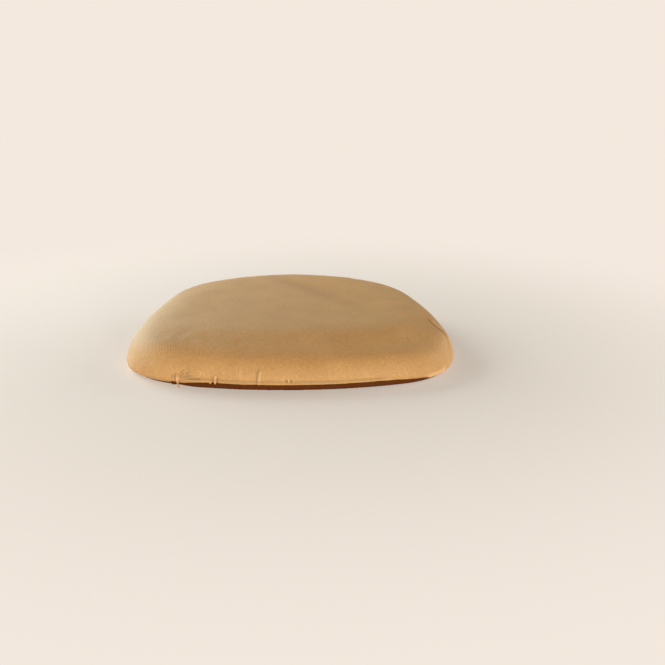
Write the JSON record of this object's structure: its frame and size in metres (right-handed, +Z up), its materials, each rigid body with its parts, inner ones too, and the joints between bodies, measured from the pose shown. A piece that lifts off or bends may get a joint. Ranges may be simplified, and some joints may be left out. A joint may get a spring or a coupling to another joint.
{
  "type": "seat cushion cover",
  "caption": "Fitted stretch cover drawn over a domed seat pad with a bowed front edge, round corners, a rounded back and a flat underside to rest on a chair seat.",
  "frame": {"origin": "middle of the underside, on the surface that the cushion rests on", "axes": "+Z up; the bowed front edge faces -Y and the rounded back faces +Y; +X is to the right as seen from the front"},
  "size_m": [0.3746, 0.3786, 0.05],
  "materials": {
    "cover": "brushed stretch knit with a short matt nap, gold tan"
  },
  "bodies": {
    "root": {"cushion": "cover"}
  },
  "joints": []
}
